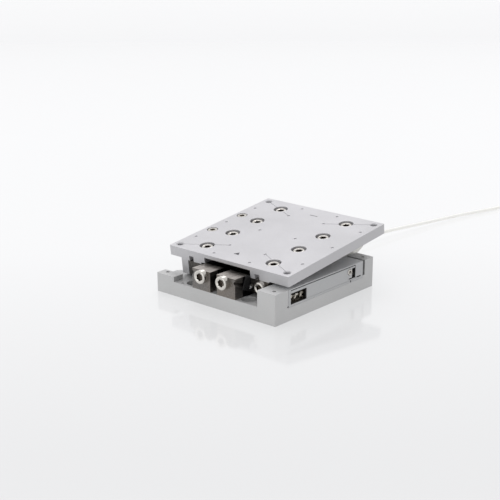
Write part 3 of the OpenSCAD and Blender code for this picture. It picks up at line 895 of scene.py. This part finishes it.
@dataclass
class LeadEnds:
    """What is on the lead: the gland, the tie round the coil, and the connector."""

    lead: Lead
    gland_x: float = -6.0
    gland_z: float = 2.4
    back_y: float = 25.0
    connector_at: tuple[float, float, float] = (39.0, 150.6, 3.4)
    shell_r: float = 3.1
    tie_width: float = 2.4

    def gland(self) -> bpy.types.Object:
        """Build the tapered, ribbed strain relief at the back of the base."""
        rings: list[tuple[float, Radius | float]] = [
            (20.7, 0.0), (20.7, 1.4), (self.back_y, 1.4), (self.back_y, 1.95), (self.back_y + 0.12, 2.1),
            (self.back_y + 0.58, 2.1), (self.back_y + 0.7, 1.95), (self.back_y + 0.7, 1.5),
        ]
        ribs = 4
        for rib in range(ribs):
            y = self.back_y + 1.0 + rib * 0.75
            reach = 1.5 - 0.12 * rib
            rings += [(y, reach), (y + 0.12, reach - 0.22), (y + 0.4, reach - 0.24), (y + 0.52, reach - 0.03)]
        rings += [(self.back_y + 3.9, 0.97), (self.back_y + 4.0, 0.86), (self.back_y + 4.0, 0.0)]
        mesh = bmesh.new()
        place = Matrix.Translation(Vector((self.gland_x, 0, self.gland_z)) * MM) @ Facing.BACK.value
        turned(mesh, rings, place, 40)
        piece = new_piece("gland", mesh, Finish.white_jacket)
        return settle(piece, "base", ["cable_gland"])

    def tie(self) -> bpy.types.Object:
        """Build the strap round the coil's turns."""
        lead = self.lead
        inner = lead.coil_out - lead.turns * lead.coil_pitch - lead.diameter / 2 - 0.3
        outer = lead.coil_out + lead.diameter / 2 + 0.05
        top = lead.coil_base + (lead.layers - 1) * lead.coil_pitch + lead.diameter + 0.05
        thick, corner, steps = 0.3, 0.7, 6
        loops = []
        for grow in (0.0, thick):
            low = Vector((inner - grow, thick - grow))
            high = Vector((outer + grow, top + grow))
            radius = corner + grow
            loop = []
            corners = ((high.x, high.y), (low.x, high.y), (low.x, low.y), (high.x, low.y))
            for quarter, (x, z) in enumerate(corners):
                middle_x = x - radius if x > (low.x + high.x) / 2 else x + radius
                middle_z = z - radius if z > (low.y + high.y) / 2 else z + radius
                for step in range(steps + 1):
                    angle = math.radians(90 * (quarter + step / steps))
                    loop.append((middle_x + radius * math.cos(angle), middle_z + radius * math.sin(angle)))
            loops.append(loop)
        mesh = bmesh.new()
        middle_x, middle_y = lead.coil_middle
        rows = []
        for loop in loops:
            for side in (-1, 1):
                y = middle_y + side * self.tie_width / 2
                rows.append([mesh.verts.new(Vector((middle_x + x, y, z)) * MM) for x, z in loop])
        for first, second in ((0, 1), (1, 3), (3, 2), (2, 0)):
            join_rings(mesh, rows[first], rows[second])
        piece = new_piece("tie", mesh, Finish.black_strap)
        return settle(piece, "base", ["coil_tie"])

    def connector(self) -> list[bpy.types.Object]:
        """Build the connector's boot, shell and knurled ring."""
        place = Matrix.Translation(Vector(self.connector_at) * MM) @ Facing.RIGHT.value
        shell, ring_r = self.shell_r, self.connector_at[2]
        boot: list[tuple[float, Radius | float]] = [(0.0, 0.0), (0.0, 0.8), (0.1, 0.9)]
        for rib in range(4):
            x, reach = 0.8 + rib * 1.4, 1.05 + 0.28 * rib
            boot += [(x, reach), (x + 0.2, reach - 0.2), (x + 0.6, reach - 0.16), (x + 0.8, reach + 0.14)]
        boot += [(6.6, 2.12), (7.9, 2.2), (8.0, 2.2), (8.0, 0.0)]
        body: list[tuple[float, Radius | float]] = [
            (8.0, 0.0), (8.0, shell - 0.4), (8.3, shell - 0.05), (8.6, shell), (15.0, shell),
            (15.1, shell - 0.12), (15.35, shell - 0.12), (15.45, shell), (22.7, shell), (23.0, shell - 0.2),
            (23.0, shell - 0.5),
            (22.9, shell - 0.6), (16.0, shell - 0.6), (16.0, 0.0),
        ]
        knurl = knurled(ring_r - 0.01, 36, 0.12)
        ring: list[tuple[float, Radius | float]] = [
            (10.0, shell + 0.03), (10.0, ring_r - 0.2), (10.15, ring_r - 0.08), (10.3, knurl), (13.7, knurl),
            (13.85, ring_r - 0.08), (14.0, ring_r - 0.2), (14.0, shell + 0.03), (10.0, shell + 0.03),
        ]
        made = []
        for name, rings, finish, node, segments in (
            ("connector_boot_ribbed", boot, Finish.white_jacket, "connector_boot", 40),
            ("connector_body", body, Finish.nickel_shell, "connector_shell", 64),
            ("connector_knurled_ring", ring, Finish.nickel_shell, "connector_ring", 144),
        ):
            mesh = bmesh.new()
            turned(mesh, rings, place, segments)
            made.append(settle(new_piece(name, mesh, finish), "base", [node]))
        return made

    def build(self) -> list[bpy.types.Object]:
        """Build all of it and return what goes with the lead."""
        self.gland()
        return [self.tie(), *self.connector()]


# ---------------------------------------------------------------- drive and encoder


@dataclass
class DriveParts:
    """Small parts behind the side window: the preload spring and the parts on the encoder's board."""

    spring_x: float = 22.6
    spring_z: float = 6.6
    spring_start: float = -16.25
    spring_end: float = -10.7
    spring_r: float = 1.2
    wire_r: float = 0.3
    coils: float = 2.5
    closed_ends: float = 0.05
    board_face_x: float = 20.4

    def spring(self) -> bpy.types.Object:
        """Build the round-wire preload spring with closed ends."""
        steps = 32
        points = []
        for step in range(round(self.coils * steps) + 1):
            turn = step / steps
            share = turn / self.coils
            eased = share - self.closed_ends * math.sin(2 * math.pi * share)
            angle = 2 * math.pi * turn
            x = self.spring_x + self.spring_r * math.cos(angle)
            y = self.spring_start + (self.spring_end - self.spring_start) * eased
            z = self.spring_z + self.spring_r * math.sin(angle)
            points.append(Vector((x, y, z)) * MM)
        piece = wire("preload_coil_spring", points, self.wire_r * MM, Finish.spring_steel)
        return settle(piece, "base", ["preload_spring"])

    def board_parts(self) -> bpy.types.Object:
        """Build the chips and small parts on the encoder's board."""
        mesh = bmesh.new()
        x = self.board_face_x
        for y0, z0, y1, z1, high in (
            (5.0, 6.2, 7.6, 8.4, 0.5), (8.2, 7.0, 9.9, 8.4, 0.4), (8.3, 5.9, 8.8, 6.6, 0.3),
            (9.3, 5.9, 9.8, 6.6, 0.3), (4.8, 5.2, 5.5, 5.7, 0.3), (6.2, 5.2, 6.9, 5.7, 0.3),
            (7.5, 5.2, 8.2, 5.7, 0.3),
        ):
            slab(mesh, (x, y0, z0), (x + high, y1, z1), Matrix.Identity(4), 0.05)
        return settle(new_piece("board_parts", mesh, Finish.black_chip), "base")

    def build(self) -> None:
        """Build the spring and the board's parts."""
        self.spring()
        self.board_parts()


# ---------------------------------------------------------------- the machined parts


@dataclass
class MachinedParts:
    """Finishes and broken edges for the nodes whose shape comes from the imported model."""

    finishes: ClassVar[dict[str, Finish]] = {
        "base_frame": Finish.anodised_base,
        "duct_cover": Finish.anodised_base,
        "side_cover": Finish.anodised_cover,
        "side_inlay": Finish.anodised_cover,
        "platform": Finish.anodised_platform,
        "platform_inserts": Finish.bright_screw,
        "fixed_rail_left": Finish.rail_steel,
        "fixed_rail_right": Finish.rail_steel,
        "moving_rail_left": Finish.ground_steel,
        "moving_rail_right": Finish.ground_steel,
        "fixed_rail_screws": Finish.bright_screw,
        "cover_screw": Finish.bright_screw,
        "cheek_screws": Finish.dark_pin,
        "cover_pins": Finish.dark_pin,
        "drive_frame": Finish.drive_steel,
        "drive_screws": Finish.bright_screw,
        "preload_screw": Finish.bright_screw,
        "piezo_stack": Finish.piezo_ceramic,
        "friction_shoe": Finish.white_ceramic,
        "runner_strip": Finish.white_ceramic,
        "encoder_scale": Finish.scale_glass,
        "encoder_board": Finish.circuit_board,
        "encoder_readhead": Finish.black_chip,
        "flex_lead": Finish.amber_film,
        "inner_shield": Finish.black_film,
        "connector_insert": Finish.black_chip,
        "connector_pins": Finish.gold_contact,
        "roller_cage_left": Finish.cage_plastic,
        "roller_cage_right": Finish.cage_plastic,
        "rollers_left": Finish.roller_steel,
        "rollers_right": Finish.roller_steel,
    }
    edges: ClassVar[dict[str, float]] = {
        "base_frame": 0.12, "platform": 0.14, "side_cover": 0.1, "side_inlay": 0.06,
        "fixed_rail_left": 0.18, "fixed_rail_right": 0.18, "moving_rail_left": 0.16,
        "moving_rail_right": 0.16, "drive_frame": 0.08, "platform_inserts": 0.08,
    }
    SHARP_DEG: ClassVar[float] = 40

    def build(self) -> None:
        """Dress every node and break the edges of the machined ones."""
        for name, finish in self.finishes.items():
            node = bpy.data.objects[name]
            node.data.materials.clear()
            node.data.materials.append(finish.material())
            width = self.edges.get(name)
            if width:
                broken = node.modifiers.new("broken_edges", "BEVEL")
                broken.width = width * MM
                broken.segments = 2
                broken.limit_method = "ANGLE"
                broken.angle_limit = math.radians(self.SHARP_DEG)
                broken.use_clamp_overlap = True
                broken.harden_normals = True
            log.info("%s is finished in %s", name, finish.name)


@dataclass
class IndexMarks:
    """Dark enamel in the platform's engraved triangle and tick."""

    stage: StageFrame
    floor_z: float = 16.58
    thick: float = 0.05

    def build(self) -> bpy.types.Object:
        """Build both marks as one piece."""
        mesh = bmesh.new()
        place = self.stage.turned()
        outlines = (
            ((-1.62, -19.75), (0.42, -19.75), (-0.6, -18.1)),
            ((-1.55, 19.13), (1.55, 19.13), (1.55, 19.42), (-1.55, 19.42)),
        )
        for outline in outlines:
            low, high = (
                [mesh.verts.new(place @ (Vector((x, y, z)) * MM)) for x, y in outline]
                for z in (self.floor_z, self.floor_z + self.thick)
            )
            join_rings(mesh, low, high)
            mesh.faces.new(low)
            mesh.faces.new(high)
        return settle(new_piece("index_marks", mesh, Finish.dark_pin), "platform_body")


# ---------------------------------------------------------------- studio


@dataclass(frozen=True)
class SoftLight:
    """One square soft light that faces the stage: its place and side in metres, its power in watts."""

    name: str
    at: tuple[float, float, float]
    size: float
    power: float
    colour: Colour

    def hang(self) -> None:
        """Make the light."""
        data = bpy.data.lights.new(self.name, "AREA")
        data.shape = "SQUARE"
        data.size = self.size
        data.energy = self.power
        data.color = self.colour
        lamp = bpy.data.objects.new(self.name, data)
        lamp.location = self.at
        lamp.rotation_euler = Vector(self.at).to_track_quat("Z", "Y").to_euler()
        bpy.context.scene.collection.objects.link(lamp)


@dataclass
class Studio:
    """The camera, the table top and the soft lights."""

    target: tuple[float, float, float] = (-31.21, 27.99, 0.0)
    azimuth_deg: float = 41.12
    elevation_deg: float = 17.40
    distance: float = 411.25
    lens_mm: float = 81.6
    sky_left: Colour = (0.97, 0.97, 0.98)
    sky_right: Colour = (0.62, 0.62, 0.63)
    sky_strength: float = 0.93
    sensor_mm: float = 36.0
    clip_start: float = 0.01
    table_size: float = 8.0
    table_z: float = -0.00002
    lights: tuple[SoftLight, ...] = (
        SoftLight("overhead", (-0.38, 0.43, 0.82), 0.7, 2.0, (1.0, 0.985, 1.01)),
        SoftLight("front_fill", (-0.10, -1.05, 0.28), 0.6, 0.8, (0.97, 1.0, 0.98)),
    )

    def camera(self) -> None:
        """Place the camera."""
        azimuth, elevation = math.radians(self.azimuth_deg), math.radians(self.elevation_deg)
        level = math.cos(elevation)
        back = Vector((math.sin(azimuth) * level, -math.cos(azimuth) * level, math.sin(elevation)))
        data = bpy.data.cameras.new("camera")
        data.lens = self.lens_mm
        data.sensor_width = self.sensor_mm
        data.clip_start = self.clip_start
        camera = bpy.data.objects.new("camera", data)
        camera.location = (Vector(self.target) + back * self.distance) * MM
        camera.rotation_euler = back.to_track_quat("Z", "Y").to_euler()
        bpy.context.scene.collection.objects.link(camera)
        bpy.context.scene.camera = camera

    def floor(self) -> None:
        """Lay the table top."""
        mesh = bmesh.new()
        bmesh.ops.create_grid(mesh, x_segments=2, y_segments=2, size=self.table_size)
        floor = new_piece("table_top", mesh, Finish.studio_floor)
        floor.location.z = self.table_z

    def surroundings(self) -> None:
        """Make the pale surroundings, a little dimmer on the right."""
        world = bpy.data.worlds.new("surroundings")
        world.use_nodes = True
        tree = world.node_tree
        background = tree.nodes["Background"]
        direction = tree.nodes.new("ShaderNodeTexCoord")
        split = tree.nodes.new("ShaderNodeSeparateXYZ")
        ramp = tree.nodes.new("ShaderNodeValToRGB")
        tree.links.new(direction.outputs["Generated"], split.inputs[0])
        tree.links.new(split.outputs[0], ramp.inputs[0])
        tree.links.new(ramp.outputs[0], background.inputs["Color"])
        for element, colour in zip(ramp.color_ramp.elements, (self.sky_left, self.sky_right)):
            element.color = (*colour, 1.0)
        background.inputs["Strength"].default_value = self.sky_strength
        bpy.context.scene.world = world

    def build(self) -> None:
        """Set up the camera, the table, the lights and the pale surroundings."""
        self.camera()
        self.floor()
        for light in self.lights:
            light.hang()
        self.surroundings()
        bpy.context.scene.view_settings.view_transform = "Standard"


# ---------------------------------------------------------------- main


def main() -> None:
    """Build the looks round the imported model, in order."""
    logging.basicConfig(level=logging.INFO, format="%(name)s: %(message)s")
    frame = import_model()
    Studio().build()
    lead = Lead()
    lead.build(LeadEnds(lead).build())
    stage = StageFrame.of(frame)
    MachinedParts().build()
    StageScrews(stage).build()
    DriveParts().build()
    IndexMarks(stage).build()


if __name__ == "__main__":
    main()
